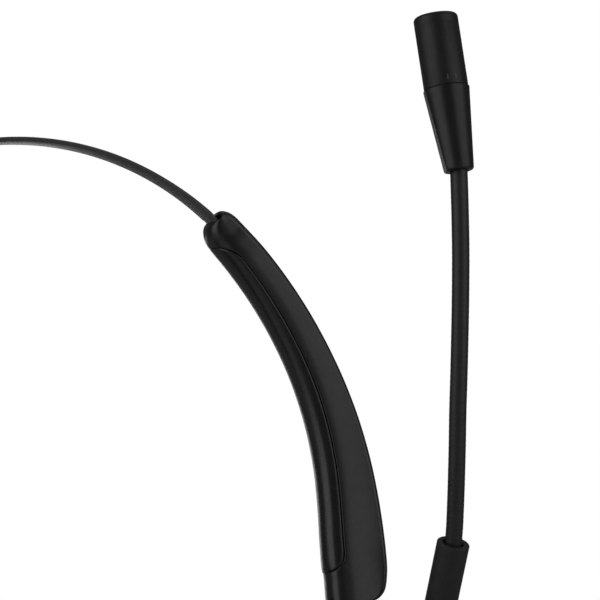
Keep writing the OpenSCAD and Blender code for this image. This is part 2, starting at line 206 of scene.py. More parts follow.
M["band_steel"] = band_material()
M["boom_rubber"] = rubber_material("boom_rubber", 0.028, 0.039, 0.5, 0.58, 0.35)
M["gooseneck_jacket"] = rubber_material("gooseneck_jacket", 0.023, 0.03, 0.4, 0.48, 0.5)
M["gland_rubber"] = rubber_material("gland_rubber", 0.010, 0.015, 0.5, 0.62)


def leather_material():
    """Protein leatherette: pebble grain, shallow creases, slightly polished high spots."""
    m = Mat("leatherette")
    m.put(Specular_IOR_Level=0.45)
    warp = m.node("ShaderNodeMix", {"Factor": 0.0009}, data_type="VECTOR")
    m.t.links.new(m.co, warp.inputs[4])
    m.t.links.new(m.node("ShaderNodeTexNoise", {"Vector": m.co, "Scale": 900.0}).outputs[1], warp.inputs[5])
    vec = warp.outputs[1]
    cells = m.voronoi(1250.0, "DISTANCE_TO_EDGE", vec)
    pebble = m.span(cells, 0.0, 0.22, 0.0, 1.0)
    crease = m.noise(330.0, 6.0, 0.7, None, 0.6)
    m.link(m.ramp(pebble, [(0.05, grey(0.008)), (0.6, grey(0.016))]), "Base Color")
    m.link(m.span(pebble, 0.0, 1.0, 0.56, 0.4), "Roughness")
    m.link(m.bump(pebble, 0.35, 0.00008, m.bump(crease, 0.25, 0.00025)), "Normal")
    return m.m


def cloth_material():
    """Acoustic cloth: a plain weave of fine threads."""
    m = Mat("speaker_cloth")
    m.put(Roughness=0.85, Sheen_Weight=0.25, Sheen_Roughness=0.5, Specular_IOR_Level=0.2)
    a = m.wave(560.0, "Y")
    b = m.wave(560.0, "Z")
    over = m.wave(280.0, "Y")
    weave = m.math("MAXIMUM", m.math("MULTIPLY", a, over), m.math("MULTIPLY", b, m.math("SUBTRACT", 1.0, over)))
    m.link(m.ramp(weave, [(0.1, grey(0.004)), (0.7, grey(0.022))]), "Base Color")
    m.link(m.bump(weave, 0.8, 0.00012), "Normal")
    return m.m


def film_material():
    m = Mat("diaphragm_film")
    m.put(Specular_IOR_Level=0.5)
    m.link(m.ramp(m.noise(500.0, 4.0), [(0.3, (0.24, 0.2, 0.13)), (0.7, (0.33, 0.28, 0.18))]), "Base Color")
    m.link(m.span(m.noise(1500.0), 0.3, 0.7, 0.22, 0.35), "Roughness")
    return m.m


def thread_material():
    m = Mat("seam_thread")
    m.put(Roughness=0.7, Specular_IOR_Level=0.3)
    twist = m.wave(420.0, "DIAGONAL")
    m.link(m.ramp(twist, [(0.1, grey(0.008)), (0.8, grey(0.03))]), "Base Color")
    m.link(m.bump(twist, 0.6, 0.00006), "Normal")
    return m.m


M["leatherette"] = leather_material()
M["speaker_cloth"] = cloth_material()
M["diaphragm_film"] = film_material()
M["thread"] = thread_material()
# light grey paint for the walls and floors of the two vent slots: a painted glint
M["vent_glint_paint"] = plastic("vent_glint_paint", 0.07, 0.11, 0.5, 0.6, grain=9000.0, bump=0.5, depth=0.00004, blotch=2600.0)


# ------------------------------------------------------------ mesh helpers
def unit(v):
    v = np.asarray(v, float)
    return v / np.linalg.norm(v)


def pchip(x, y, q):
    """Smooth interpolation of rows y at x that never overshoots."""
    x, y, q = np.asarray(x, float), np.asarray(y, float), np.asarray(q, float)
    h, d = np.diff(x), np.diff(y) / np.diff(x)
    m = np.zeros_like(y)
    m[0], m[-1] = d[0], d[-1]
    for i in range(1, len(x) - 1):
        if d[i - 1] * d[i] > 0:
            w1, w2 = 2 * h[i] + h[i - 1], h[i] + 2 * h[i - 1]
            m[i] = (w1 + w2) / (w1 / d[i - 1] + w2 / d[i])
    k = np.clip(np.searchsorted(x, q) - 1, 0, len(x) - 2)
    t = (q - x[k]) / h[k]
    return ((2 * t**3 - 3 * t**2 + 1) * y[k] + (t**3 - 2 * t**2 + t) * h[k] * m[k]
            + (-2 * t**3 + 3 * t**2) * y[k + 1] + (t**3 - t**2) * h[k] * m[k + 1])


def fillet(poly, rad, seg=5, closed=True):
    """Rounds the corners of a plane polygon. rad is one radius or one per corner."""
    out, n = [], len(poly)
    for i in range(n):
        p = np.array(poly[i], float)
        r = rad[i] if isinstance(rad, (list, tuple)) else rad
        if r <= 0 or (not closed and i in (0, n - 1)):
            out.append(p)
            continue
        a, b = np.array(poly[i - 1], float) - p, np.array(poly[(i + 1) % n], float) - p
        la, lb = np.linalg.norm(a), np.linalg.norm(b)
        a, b = a / la, b / lb
        ang = math.acos(max(-1.0, min(1.0, float(a @ b))))
        if ang > PI - 1e-3:
            out.append(p)
            continue
        d = min(r / math.tan(ang / 2), 0.49 * la, 0.49 * lb)
        r = d * math.tan(ang / 2)
        c = p + unit(a + b) * (r / math.sin(ang / 2))
        v0, v1 = p + a * d - c, p + b * d - c
        t = math.acos(max(-1.0, min(1.0, float(v0 @ v1) / (r * r))))
        for k in range(seg + 1):
            f = k / seg
            out.append(c + (math.sin((1 - f) * t) * v0 + math.sin(f * t) * v1) / math.sin(t))
    return np.array(out)


def quads(idx, wrap_u=False, wrap_v=True):
    """Faces of a grid of vertex indices."""
    m, n = idx.shape
    f = []
    for i in range(m if wrap_u else m - 1):
        for j in range(n if wrap_v else n - 1):
            f.append((int(idx[i, j]), int(idx[(i + 1) % m, j]), int(idx[(i + 1) % m, (j + 1) % n]),
                      int(idx[i, (j + 1) % n])))
    return f


class Build:
    """Collects vertices (mm) and faces, then makes one closed, clean mesh."""

    def __init__(self):
        self.v, self.f, self.n = [], [], 0

    def add(self, pts):
        pts = np.asarray(pts, float)
        k = self.n + np.arange(pts.size // 3).reshape(pts.shape[:-1])
        self.v.append(pts.reshape(-1, 3))
        self.n += pts.size // 3
        return k

    def grid(self, pts, wrap_u=False, wrap_v=True):
        k = self.add(pts)
        self.f += quads(k, wrap_u, wrap_v)
        return k

    def cap(self, ring):
        self.f.append(tuple(int(i) for i in ring))

    def lathe(self, prof, origin, axis, side=None, n=96, loop=True):
        """prof rows are (along, radius). loop closes the profile on itself."""
        axis = unit(axis)
        side = unit(np.cross(axis, [0, 1, 0.2] if abs(axis[1]) < 0.9 else [1, 0, 0])) if side is None else unit(side)
        up = np.cross(axis, side)
        a = np.arange(n) * 2 * PI / n
        prof = np.asarray(prof, float)
        pts = (np.asarray(origin, float) + prof[:, None, :1] * axis
               + prof[:, None, 1:] * (np.cos(a)[None, :, None] * side + np.sin(a)[None, :, None] * up))
        return self.grid(pts, wrap_u=loop)

    def plate(self, outline, y0, y1, edge, frame3, seg=3):
        """A plate with rounded edges: outline is convex, counter-clockwise, in the frame's first two axes."""
        o = np.asarray(outline, float)
        t = np.roll(o, -1, 0) - np.roll(o, 1, 0)
        t /= np.linalg.norm(t, axis=1)[:, None]
        nrm = np.stack([t[:, 1], -t[:, 0]], 1)
        rows = []
        for k in range(seg + 1):
            a = k / seg * PI / 2
            rows.append((edge * (1 - math.sin(a)), y0 + edge * (1 - math.cos(a))))
        for k in range(seg + 1):
            a = k / seg * PI / 2
            rows.append((edge * (1 - math.cos(a)), y1 - edge * (1 - math.sin(a))))
        org, ex, ey, ez = [np.asarray(x, float) for x in frame3]
        pts = np.array([[org + p[0] * ex + p[1] * ey + y * ez for p in o - nrm * ins] for ins, y in rows])
        k = self.grid(pts)
        self.cap(k[0])
        self.cap(k[-1][::-1])
        return k

    def mirrored(self):
        b = Build()
        b.v = [v * np.array([-1.0, 1.0, 1.0]) for v in self.v]
        b.f = [tuple(reversed(f)) for f in self.f]
        b.n = self.n
        return b

    def mesh(self, name, merge=0.004, sharp=34.0):
        me = bpy.data.meshes.new(name)
        me.from_pydata((np.concatenate(self.v) * MM).tolist(), [], self.f)
        bm = bmesh.new()
        bm.from_mesh(me)
        bmesh.ops.remove_doubles(bm, verts=bm.verts, dist=merge * MM)
        bmesh.ops.dissolve_degenerate(bm, edges=bm.edges, dist=1e-7)
        bmesh.ops.recalc_face_normals(bm, faces=bm.faces)
        bm.to_mesh(me)
        bm.free()
        me.update()
        me.shade_smooth()
        me.set_sharp_from_angle(angle=math.radians(sharp))
        return me


def piece(name, me, mat, body, nodes=(), ride=True):
    ob = bpy.data.objects.new(name, me)
    scene.collection.objects.link(ob)
    me.materials.clear()
    me.materials.append(M[mat])
    if nodes:
        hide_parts(*nodes)
    if ride:
        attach(ob, body)
    return ob


def cut(me, cutter, name):
    """The first mesh less the second, both closed."""
    a, b = bpy.data.objects.new("tmp_a", me), bpy.data.objects.new("tmp_b", cutter)
    scene.collection.objects.link(a)
    scene.collection.objects.link(b)
    mod = a.modifiers.new("cut", "BOOLEAN")
    mod.operation, mod.solver, mod.object = "DIFFERENCE", "EXACT", b
    mod.material_mode = "TRANSFER"
    dg = bpy.context.evaluated_depsgraph_get()
    made = bpy.data.meshes.new_from_object(a.evaluated_get(dg), preserve_all_data_layers=False, depsgraph=dg)
    made.name = name
    bpy.data.objects.remove(a)
    bpy.data.objects.remove(b)
    made.shade_smooth()
    made.set_sharp_from_angle(angle=math.radians(34))
    return made


# ---------------------------------------------------------------- headband
C2 = np.array([-27.28, 39.046])          # centre of the slide arc (x, z)
CROWN = np.array([0.0, 68.3])
ENTRY = 43.0


def pol(phi, r, c=C2):
    a = np.radians(phi)
    return np.stack([c[0] + r * np.sin(a), c[1] + r * np.cos(a)], -1)


def band_section(w, t):
    """Rolled strip edge: flat faces, nearly full-round edges."""
    h, r = w / 2, 0.46 * t
    return fillet([(-t / 2, -h), (t / 2, -h), (t / 2, h), (-t / 2, h)], r, 5)


def tongue(a):
    return float(np.interp(a, [43, 57, 60, 68], [8.8, 8.8, 7.4, 7.2]))


b = Build()
rings = []
for a in np.linspace(68, 43.0, 40):                       # hidden end, -X side, narrowed to a tongue
    more = float(np.interp(a, [43, 46], [0.4, 0]))
    s = band_section(tongue(a), 0.8 + more)
    p = pol(a, 101.3 + more / 2 + s[:, 0])
    rings.append(np.stack([-p[:, 0], s[:, 1], p[:, 1]], 1))
for a in np.linspace(-42.4, 42.4, 181):
    more = float(np.interp(abs(a), [30, 34, 40.6, 42.4], [0, 0.07, 0.25, 0.3]))     # thicker towards the arms
    s = band_section(9.4, 1.0 + more)
    p = pol(a, 61.34 + more / 2 + s[:, 0], CROWN)
    rings.append(np.stack([p[:, 0], s[:, 1], p[:, 1]], 1))
for a in np.linspace(43.0, 68, 40):
    more = float(np.interp(a, [43, 46], [0.4, 0]))
    s = band_section(tongue(a), 0.8 + more)
    p = pol(a, 101.3 + more / 2 + s[:, 0])
    rings.append(np.stack([p[:, 0], s[:, 1], p[:, 1]], 1))
k = b.grid(np.array(rings))
b.cap(k[0])
b.cap(k[-1][::-1])
piece("headband_strip.v", b.mesh("headband_strip.v"), "band_steel", "headband", ["headband_strip"])


# -------------------------------------------------------------------- arms
# Rows along the arm: angle about the slide centre, then the inner edge, the widest line and the outer edge
ARC = [(46.2, 96.72, 100.6, 105.38), (50, 96.5, 100.4, 105.55), (55, 96.28, 100.18, 105.7),
       (60, 96.03, 99.93, 105.91), (65, 95.78, 99.68, 106.18), (70, 95.48, 99.38, 106.57),
       (75, 95.13, 99.03, 107.0), (80, 94.74, 98.64, 107.47), (85, 94.4, 98.3, 108.05),
       (88, 94.4, 98.3, 108.52), (90, 94.64, 98.54, 108.88), (91.7, 94.96, 98.84, 109.16)]
# Where the seam of the inner cover runs: angle, offset from the widest line
SEAM_N = [(44, -0.8), (50, -0.6), (55, -0.45), (60, -0.3), (65, -0.05), (70, 0.15), (80, 0.25), (88, 0.35), (100, 0.35)]
# Rows further down, as points (x, z): the inner edge and the outer edge
STEM = [((68.05, 33.2), (81.7, 33.2)), ((68.2, 31.2), (81.25, 30.9)), ((68.3, 29.8), (80.2, 29.45)),
        ((68.4, 28.6), (78.9, 28.6)), ((68.55, 27.6), (77.6, 28.1)), ((68.75, 26.6), (76.85, 27.55)),
        ((69.05, 25.4), (76.5, 26.9)), ((69.5, 23.8), (76.6, 25.6)), ((70.3, 21.3), (77.3, 23.4)),
        ((71.5, 18.5), (78.5, 20.9)), ((72.9, 15.5), (80.0, 18.0)), ((74.2, 12.5), (81.3, 15.0)),
        ((75.4, 9.5), (82.4, 11.6)), ((76.3, 6.5), (83.0, 8.0)), ((76.8, 3.0), (83.3, 3.6)), ((77.0, 0.0), (83.4, 0.0))]
rows_i, rows_w, rows_o = [], [], []
for phi, ri, rw, ro in ARC:
    rows_i.append(pol(phi, ri)); rows_w.append(pol(phi, rw)); rows_o.append(pol(phi, ro))
for n, (i, o) in enumerate(STEM):
    i, o = np.array(i), np.array(o)
    rows_i.append(i); rows_o.append(o)
    rows_w.append(i + unit(o - i) * (3.9 if n < 8 else 3.6))
rows_i, rows_w, rows_o = np.array(rows_i), np.array(rows_w), np.array(rows_o)
U_ROW = np.concatenate([[0], np.cumsum(np.linalg.norm(np.diff(rows_w, axis=0), axis=1))])
U_END = U_ROW[-1]
_u = np.linspace(-6, U_END + 6, 1600)
_g = np.exp(-0.5 * (np.arange(-60, 61) * (_u[1] - _u[0]) / 0.5) ** 2)
_g /= _g.sum()


def smooth_rows(rows):
    """Dense rows along the arm, with the joins of the table faired."""
    e0, e1 = (rows[1] - rows[0]) / (U_ROW[1] - U_ROW[0]), (rows[-1] - rows[-2]) / (U_ROW[-1] - U_ROW[-2])
    out = np.zeros((len(_u), 2))
    for c in range(2):
        q = pchip(U_ROW, rows[:, c], np.clip(_u, 0, U_END))
        q += np.where(_u < 0, _u * e0[c], 0) + np.where(_u > U_END, (_u - U_END) * e1[c], 0)
        pad = np.concatenate([q[0] + (np.arange(-60, 0)) * (q[1] - q[0]), q, q[-1] + np.arange(1, 61) * (q[-1] - q[-2])])
        out[:, c] = np.convolve(pad, _g, "valid")
    return out


S_I, S_W, S_O = smooth_rows(rows_i), smooth_rows(rows_w), smooth_rows(rows_o)


def at(rows, u):
    return np.array([np.interp(u, _u, rows[:, 0]), np.interp(u, _u, rows[:, 1])])


PHI_U = np.degrees(np.arctan2(S_W[:, 0] - C2[0], S_W[:, 1] - C2[1]))


def u_of(phi):
    k = PHI_U < 97
    return float(np.interp(phi, PHI_U[k], _u[k]))


def width(u):
    return float(pchip([0, 2.5, 6, 10, 15, 21, 31, 42, 76, 86, 92, 100, 110, 118],
                       [5.45, 5.68, 5.72, 5.55, 5.3, 5.05, 4.8, 4.65, 4.65, 4.75, 4.95, 5.6, 7.0, 9.0], [np.clip(u, 0, 118)])[0])


class Section:
    """Half outline of the arm at u, in the plane across it: (n, y) from the inner ridge to the middle of the back."""

    def __init__(self, u):
        i, w, o = at(S_I, u), at(S_W, u), at(S_O, u)
        self.e = unit(o - i)
        self.w = w
        hi, ho = float((w - i) @ self.e), float((o - w) @ self.e)
        bw = width(u)
        down = np.clip((u - 96) / 10, 0, 1)
        p = 2.0 + 0.3 * min(max(u - 4, 0) / 14, 1) + 1.1 * down
        a = np.linspace(0, PI / 2, 40)
        inner = np.stack([-hi * np.cos(a) ** (2 / p), bw * np.sin(a) ** (2 / p)], 1)
        # the front rolls over a soft ridge outside the seam, then runs nearly flat to the back edge
        rf, rb, k1, roll, n0 = 100.0 + 30 * down, 40.0, 0.1 * (1 - down), 0.32, float(np.interp(u, [0, 8, 20, 60], [0.7, 1.1, 1.4, 1.6]))

        def flank(n):
            return bw - k1 * roll * (np.log1p(np.exp((n - n0) / roll)) - math.log1p(math.exp(-n0 / roll))) - n * n / (2 * rf)

        kn, ky = ho, flank(ho)
        for _ in range(4):
            kn = ho - ky * ky / (2 * rb)
            ky = flank(kn)
        ts, tb = unit([-1, kn / rf + k1 / (1 + math.exp((n0 - kn) / roll))]), unit([ky / rb, -1])
        ang = math.acos(max(-1, min(1, float(ts @ tb))))
        r = min(1.35, 0.3 * ho, 0.3 * bw)
        d = r / math.tan(ang / 2)
        c = np.array([kn, ky]) + unit(ts + tb) * (r / math.sin(ang / 2))
        s, e = np.array([kn, ky]) + ts * d, np.array([kn, ky]) + tb * d
        ns = np.linspace(0, s[0], 30)[1:]
        side = np.stack([ns, flank(ns)], 1)
        side[:, 1] += (s[1] - side[-1, 1]) * (ns / ns[-1]) ** 2
        v0, v1 = s - c, e - c
        t = math.acos(max(-1, min(1, float(v0 @ v1) / (r * r))))
        arc = np.array([c + (math.sin((1 - f) * t) * v0 + math.sin(f * t) * v1) / math.sin(t)
                        for f in np.linspace(0, 1, 9)[1:]])
        ys = np.linspace(e[1], 0, 12)[1:]
        back = np.stack([ho - ys**2 / (2 * rb), ys], 1)
        back[:, 0] += (e[0] - (ho - e[1] ** 2 / (2 * rb))) * (ys / e[1]) ** 2
        self.pts = np.concatenate([inner, side, arc, back])
        self.q = np.concatenate([[0], np.cumsum(np.linalg.norm(np.diff(self.pts, axis=0), axis=1))])
        self.q_side, self.q_arc, self.q_all = self.q[68], self.q[76], self.q[-1]
        phi = math.degrees(math.atan2(w[0] - C2[0], w[1] - C2[1]))
        n_seam = float(np.interp(phi, [a for a, _ in SEAM_N], [v for _, v in SEAM_N]))
        self.q_seam = float(np.interp(n_seam, self.pts[:50, 0], self.q[:50]))

    def take(self, q):
        return np.stack([np.interp(q, self.q, self.pts[:, 0]), np.interp(q, self.q, self.pts[:, 1])], -1)

    def normal(self, q):
        """Outward direction across the outline, in (n, y)."""
        t = self.take(np.minimum(q + 0.15, self.q_all)) - self.take(np.maximum(q - 0.15, -0.0))
        t = np.where((np.asarray(q) < 0.15)[..., None], np.array([0.0, 1.0]), t)
        t = t / np.linalg.norm(t, axis=-1)[..., None]
        return np.stack([-t[..., 1], t[..., 0]], -1)

    def out(self, ny, side):
        """Points (n, y) to 3-D, on the front (-1) or rear (+1) side."""
        ny = np.asarray(ny, float)
        xz = self.w + ny[..., :1] * self.e
        return np.stack([xz[..., 0], side * ny[..., 1], xz[..., 1]], -1)


TOP_TIP, BOT_TIP = u_of(45.9), u_of(92.55)
TOP_L, BOT_L, TOP_P, BOT_P = 6.8, 5.6, 2.1, 2.6


def seam_stations(grow, n_tip, step):
    """(u, share of the full seam width) along the opening, tips included. grow widens it all round."""
    t0, t1 = TOP_TIP - grow, BOT_TIP + grow
    c, d = np.cos(np.linspace(0, PI / 2, n_tip)), np.sin(np.linspace(0, PI / 2, n_tip))
    top = [(t0 + TOP_L - TOP_L * x, q) for x, q in zip(c ** (2 / TOP_P), d ** (2 / TOP_P))]
    bot = [(t1 - BOT_L + BOT_L * x, q) for x, q in zip(c ** (2 / BOT_P), d ** (2 / BOT_P))][::-1]
    mid = [(u, 1.0) for u in np.linspace(top[-1][0], bot[0][0], int((bot[0][0] - top[-1][0]) / step))[1:-1]]
    return top + mid + bot


N1, N3, N4 = 34, 8, 9
LIP, LIP_END, GAP = 0.4, 0.14, 0.05


def run_of(u):
    """Direction along the arm at u."""
    d = unit(at(S_W, u + 0.3) - at(S_W, u - 0.3))
    return np.array([d[0], 0.0, d[1]])


def c_ring(sec, q_edge):
    q = np.concatenate([np.linspace(q_edge, sec.q_side, N1), np.linspace(sec.q_side, sec.q_arc, N3)[1:],
                        np.linspace(sec.q_arc, sec.q_all, N4)[1:]])
    f, r = sec.out(sec.take(q), -1), sec.out(sec.take(q), 1)
    return np.concatenate([f, r[::-1][1:]])


def lip_rows(edge, nrm, toward, along, depth, foot=0.0):
    """Rows that roll an edge loop over and down: positions (rows, loop, 3). foot reaches out under the gap."""
    tang = np.roll(edge, -1, 0) - np.roll(edge, 1, 0)
    d = np.cross(nrm, tang)
    d /= np.linalg.norm(d, axis=1)[:, None]
    d *= np.where((d * toward).sum(1) < 0, -1, 1)[:, None]
    du = (d * along).sum(1)
    lip = np.sqrt((LIP_END * du) ** 2 + LIP ** 2 * (1 - du ** 2))[:, None]
    rows = [edge + d * lip * math.sin(a) - nrm * lip * (1 - math.cos(a)) for a in np.radians([25, 50, 72, 90])]
    if foot:
        rows.append(rows[-1] - nrm * 0.16)
        rows.append(rows[-1] + d * foot - nrm * 0.05)
    rows.append(rows[-1] - nrm * depth)
    return np.array(rows)


def arm_shell():
    b = Build()
    stations = [(u, 0.0, 0) for u in np.linspace(0, TOP_TIP - GAP - LIP_END, 3)[:-1]] if TOP_TIP > 0.6 else []
    opening = seam_stations(GAP + LIP_END, 13, 1.1)
    stations += [(u, s, 1) for u, s in opening]
    u1 = opening[-1][0]
    fine = np.linspace(u1, u_of(96.5) + 6, 62)[1:]
    stations += [(u, 0.0, 0) for u in fine]
    stop = max(u for u in np.linspace(fine[-1], U_END, 300) if at(S_W, u)[1] > 10.2)     # in the paddle, clear of its bore
    stations += [(u, 0.0, 0) for u in np.linspace(fine[-1], stop, 20)[1:]]
    secs = [Section(u) for u, _, _ in stations]
    rings, qe = [], []
    for (u, s, _), sec in zip(stations, secs):
        q = s * (sec.q_seam + GAP + LIP)
        qe.append(q)
        rings.append(c_ring(sec, q))
    rings = np.array(rings)
    k = b.grid(rings, wrap_v=False)
    b.cap([i for i in k[-1][:-1]])
    # rolled edge and floor of the seat for the inner cover
    op = [i for i, (_, _, f) in enumerate(stations) if f]
    loop = [(i, -1) for i in op] + [(i, 1) for i in op[-2:0:-1]]
    edge = np.array([rings[i][0] if sd < 0 else rings[i][-1] for i, sd in loop])
    nrm = np.array([secs[i].out(secs[i].normal(np.array(qe[i])), sd) - secs[i].out(np.zeros(2), sd) for i, sd in loop])
    um = np.clip([stations[i][0] for i, _ in loop], opening[0][0] + 3.5, opening[-1][0] - 3.5)
    ridge = np.array([Section(u).out(np.array([-4.0, 0.0]), 1) for u in um])
    rows = lip_rows(edge, nrm, ridge - edge, np.array([run_of(stations[i][0]) for i, _ in loop]), 1.5)
    ek = np.array([k[i][0] if sd < 0 else k[i][-1] for i, sd in loop])
    rk = b.add(rows)
    b.f += quads(np.concatenate([ek[None], rk]))
    half = len(op)
    last = rk[-1]
    front, rear = last[:half], np.concatenate([[last[0]], last[half:][::-1], [last[half - 1]]])
    fp, rp = rows[-1][:half], np.concatenate([rows[-1][:1], rows[-1][half:][::-1], rows[-1][half - 1:half]])
    m = np.array([fp + (rp - fp) * f for f in np.linspace(0, 1, 7)[1:-1]])
    mk = b.add(m)
    b.f += quads(np.concatenate([front[None], mk, rear[None]]), wrap_v=False)
    # rounded nose, down to the slot that the strip slides in
    sec = secs[0]
    ring_ny = np.concatenate([sec.take(np.concatenate([np.linspace(0, sec.q_side, N1), np.linspace(sec.q_side, sec.q_arc, N3)[1:],
                                                       np.linspace(sec.q_arc, sec.q_all, N4)[1:]]))])
    ny = np.concatenate([ring_ny * [1, -1], (ring_ny[::-1][1:])])
    phi0 = math.degrees(math.atan2(sec.w[0] - C2[0], sec.w[1] - C2[1]))
    r_w = float(np.linalg.norm(sec.w - C2))
    n_slot = 101.65 - r_w                          # the mouth stands open above the strip
    hn = np.where(ny[:, 0] > n_slot, ny[:, 0].max() - n_slot, n_slot - ny[:, 0].min())
    th = np.arctan2(ny[:, 1] / np.abs(ny[:, 1]).max(), (ny[:, 0] - n_slot) / hn)

    def slot(ht, hw, p=0.62):
        c, s = np.cos(th), np.sin(th)
        y = hw * np.sign(s) * np.abs(s) ** p
        lift = 0.95 * np.clip(-y / 5.2, 0, 1) ** 6                # the front corner turns up
        return np.stack([n_slot + lift + ht * np.sign(c) * np.abs(c) ** p, y], 1)

    def place(ny2, phi):
        xz = pol(phi, r_w + ny2[:, 0])
        return np.stack([xz[:, 0], ny2[:, 1], xz[:, 1]], 1)

    upper = 0.5 + 0.5 * np.cos(th)                # 1 at the lip outside the strip, 0 at the inner nose
    pw = 2 / (1.72 + 0.75 * upper)
    rim = 0.28
    target = slot(1.3 + rim, 5.0 + rim)
    mouth = 43.35 - 0.1 * np.cos(th) + np.where(np.sin(th) < 0, 0.5, 0.1) * np.abs(np.sin(th)) ** 2.4     # cut back at the front end
    rows = []
    for a in np.linspace(0, PI / 2, 15)[1:]:
        f = 1 - np.cos(a) ** pw if a < PI / 2 - 1e-6 else np.ones_like(pw)
        g = np.sin(a) ** pw
        rows.append(place(ny + (target - ny) * f[:, None], phi0 - (phi0 - mouth) * g))
    for a in np.radians([25, 50, 72, 90]):
        s2 = slot(1.3 + rim * (1 - math.sin(a)), 5.0 + rim * (1 - math.sin(a)))
        rows.append(place(s2, mouth + math.degrees(rim * (1 - math.cos(a)) / 101.3)))
    for ph in (45.2, 47.0, 50.0):
        rows.append(place(slot(1.28, 4.95), np.maximum(mouth + 0.3, ph)))
    nk = b.add(np.array(rows))
    b.f += quads(np.concatenate([k[0][None], nk]), wrap_v=False)
    b.cap(nk[-1][:-1])
    # round paddle with the pivot bore, and the two lugs of the cup hinge
    prof = fillet([(76, 7.8), (76, 15), (84, 15), (84, 8.4), (83.4, 8.4), (83.4, 5.05), (78.4, 5.05), (78.4, 7.8)],
                  [0.35, 1.1, 1.7, 0.3, 0, 0.2, 0.2, 0], 6)
    b.lathe(prof, (0, 0, 0), (1, 0, 0))
    for y0, y1 in ((8.5, 11.5), (-11.5, -8.5)):
        arc = [(72 + 3.3 * math.cos(t), 3.3 * math.sin(t)) for t in np.radians(np.linspace(100, 260, 25))]
        outline = arc + [(77.2, -3.9), (77.2, 3.9)]
        b.plate(outline, y0, y1, 0.45, ((0, 0, 0), (1, 0, 0), (0, 0, 1), (0, 1, 0)))
    return b


def arm_cover():
    b = Build()
    st = seam_stations(-(GAP + LIP_END), 13, 1.1)
    nq = 25
    outer, inner, edge_n = [], [], []
    secs = [Section(u) for u, _ in st]
    for (u, s), sec in zip(st, secs):
        q1 = s * (sec.q_seam - GAP - LIP)
        proud = 0.05 + 0.15 * float(np.clip((u - (BOT_TIP - 14)) / 11, 0, 1)) ** 2
        q = np.linspace(q1, 0, nq)
        nn = sec.normal(q)
        ny = sec.take(q) + nn * proud
        deep = sec.take(q) - nn * 1.35
        outer.append(np.concatenate([sec.out(ny, -1), sec.out(ny[::-1][1:], 1)]))
        inner.append(np.concatenate([sec.out(deep, -1), sec.out(deep[::-1][1:], 1)]))
        edge_n.append(sec.out(nn[0], -1) - sec.out(np.zeros(2), -1))
    outer, inner = np.array(outer), np.array(inner)
    k = b.grid(outer, wrap_v=False)
    m = len(st)
    loop = [(i, 0) for i in range(m)] + [(i, -1) for i in range(m - 2, 0, -1)]
    edge = np.array([outer[i][j] for i, j in loop])
    nrm = np.array([edge_n[i] * ([1, 1, 1] if j == 0 else [1, -1, 1]) for i, j in loop])
    um = np.clip([st[i][0] for i, _ in loop], st[0][0] + 3.5, st[-1][0] - 3.5)
    ridge = np.array([Section(u).out(np.array([-4.0, 0.0]), 1) for u in um])
    rows = lip_rows(edge, nrm, edge - ridge, np.array([run_of(st[i][0]) for i, _ in loop]), 0.5, 2 * GAP + 0.03)
    ek = np.array([k[i][j] for i, j in loop])
    rk = b.add(rows)
    b.f += quads(np.concatenate([ek[None], rk]))
    ki = b.grid(inner[:, ::-1], wrap_v=False)
    ik = np.array([ki[i][-1] if j == 0 else ki[i][0] for i, j in loop])
    b.f += quads(np.stack([rk[-1], ik]))
    return b


shell = arm_shell()
cover = arm_cover()


for side, sh, co in (("right", shell, cover), ("left", shell.mirrored(), cover.mirrored())):
    body = "arm_" + side
    piece("arm_shell_%s.v" % side, sh.mesh("arm_shell_%s.v" % side), "arm_plastic", body,
          ["arm_shell_" + side])
    piece("arm_cover_%s.v" % side, co.mesh("arm_cover_%s.v" % side), "cover_plastic", body,
          ["arm_cover_" + side])
    sgn = 1 if side == "right" else -1
    b = Build()
    for y0, y1 in ((5.2, 11.5), (-5.2, -11.5)):
        sg = 1 if y1 > 0 else -1
        b.lathe(fillet([(5.2, 0.001), (5.2, 1.5), (11.75, 1.5), (11.75, 0.001)], [0, 0.2, 0.45, 0], 4, False),
                (sgn * 72, 0, 0), (0, sg, 0), n=40, loop=False)
    piece("cup_hinge_pins_%s.v" % side, b.mesh("pins"), "bright_steel", body, ["cup_hinge_pins_" + side])


# -------------------------------------------------------------------- cups
def cup_shell():
    b = Build()

    def dome(rr, r0, r1, n):
        a0, a1 = math.asin(r0 / rr), math.asin(r1 / rr)
        return [(17.0 + rr * math.cos(a), rr * math.sin(a)) for a in np.linspace(a0, a1, n)]

    out = dome(52.0, 25.5, 2.3, 26)
    # rim, a fine groove round the side, rounded shoulder, dome, lead hole, inside wall
    side = fillet([(59.95, 23.75), (59.95, 25.5), (61.0, 25.5), (61.15, 25.25), (61.45, 25.25), (61.6, 25.5),
                   out[0], out[3]], [0.2, 0.35, 0.1, 0.08, 0.08, 0.1, 1.3, 0], 5, False)
    prof = [tuple(p) for p in side] + out[4:] + [(68.6, 2.0), (67.3, 2.0)] + dome(50.2, 2.3, 23.7, 22)[1:]
    b.lathe(prof, (0, 0, 0), (1, 0, 0), n=128)
    for y0, y1 in ((5.3, 8.2), (-8.2, -5.3)):
        arc = [(72 + 3.1 * math.cos(t), 3.1 * math.sin(t)) for t in np.radians(np.linspace(-84, 84, 25))]
        outline = arc + [(67.4, 4.3), (66.9, 4.6), (66.9, -4.6), (67.4, -4.3)]
        b.plate(outline, y0, y1, 0.4, ((0, 0, 0), (1, 0, 0), (0, 0, 1), (0, 1, 0)))
    # moulded collar round the cable inlet
    b.lathe(fillet([(20.0, 2.5), (20.0, 3.7), (26.1, 3.7), (26.1, 2.5)], [0, 0, 0.5, 0.2], 4),
            (62.6, 0, 0), (0, 0, -1), n=56)
    return b


